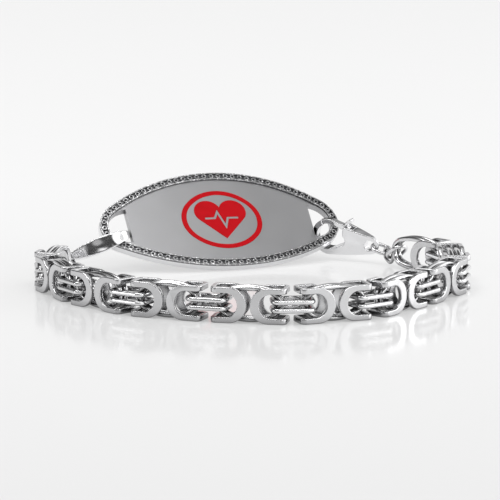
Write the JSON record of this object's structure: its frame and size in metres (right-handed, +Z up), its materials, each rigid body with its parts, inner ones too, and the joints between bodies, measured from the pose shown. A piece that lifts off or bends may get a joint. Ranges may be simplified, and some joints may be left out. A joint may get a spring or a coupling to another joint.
{
  "type": "medical alert bracelet",
  "caption": "Closed bracelet loop: flat folded-link chain, two claw clasps and a curved oval tag with a red enamel oval and heart, lying on a table.",
  "frame": {"origin": "middle of the loop's bounding box, on the table", "axes": "+X to the right along the loop's longest side, +Y from the front of the chain towards the tag, +Z up"},
  "size_m": [0.0724, 0.0658, 0.0146],
  "materials": {
    "polished_steel": "polished",
    "wire_steel": "bright polished",
    "clasp_steel": "bright polished",
    "red_enamel": "gloss"
  },
  "bodies": {
    "bracelet": {"folded_link_1": "polished_steel", "folded_link_2": "polished_steel", "folded_link_3": "polished_steel", "folded_link_4": "polished_steel", "folded_link_5": "polished_steel", "folded_link_6": "polished_steel", "folded_link_7": "polished_steel", "folded_link_8": "polished_steel", "folded_link_9": "polished_steel", "folded_link_10": "polished_steel", "folded_link_11": "polished_steel", "folded_link_12": "polished_steel", "folded_link_13": "polished_steel", "folded_link_14": "polished_steel", "folded_link_15": "polished_steel", "folded_link_16": "polished_steel", "folded_link_17": "polished_steel", "folded_link_18": "polished_steel", "bar_rings_1": "wire_steel", "bar_rings_2": "wire_steel", "bar_rings_3": "wire_steel", "bar_rings_4": "wire_steel", "bar_rings_5": "wire_steel", "bar_rings_6": "wire_steel", "bar_rings_7": "wire_steel", "bar_rings_8": "wire_steel", "bar_rings_9": "wire_steel", "oval_rings_0": "wire_steel", "oval_rings_1": "wire_steel", "oval_rings_2": "wire_steel", "oval_rings_3": "wire_steel", "oval_rings_4": "wire_steel", "oval_rings_5": "wire_steel", "oval_rings_6": "wire_steel", "oval_rings_7": "wire_steel", "oval_rings_8": "wire_steel", "oval_rings_9": "wire_steel", "tag": "polished_steel", "enamel_band": "red_enamel", "enamel_heart": "red_enamel", "left_clasp_body": "clasp_steel", "right_clasp_body": "clasp_steel", "left_jump_ring": "wire_steel", "extension_link_1": "wire_steel", "extension_link_2": "wire_steel", "extension_end_link": "wire_steel"},
    "left_lever": {"left_clasp_lever": "clasp_steel"},
    "right_lever": {"right_clasp_lever": "clasp_steel"}
  },
  "joints": [
    {"name": "left_lever_turn", "type": "hinge", "parent": "bracelet", "child": "left_lever", "pos_m": [-0.02718, 0.01611, 0.00362], "axis": [0.3731, -0.1704, -0.912], "range_deg": [0, 20], "stiffness_Nm_per_rad": 0.0004},
    {"name": "right_lever_turn", "type": "hinge", "parent": "bracelet", "child": "right_lever", "pos_m": [0.0167, 0.02448, 0.00492], "axis": [-0.4688, -0.8654, -0.1771], "range_deg": [0, 20], "stiffness_Nm_per_rad": 0.0004}
  ]
}
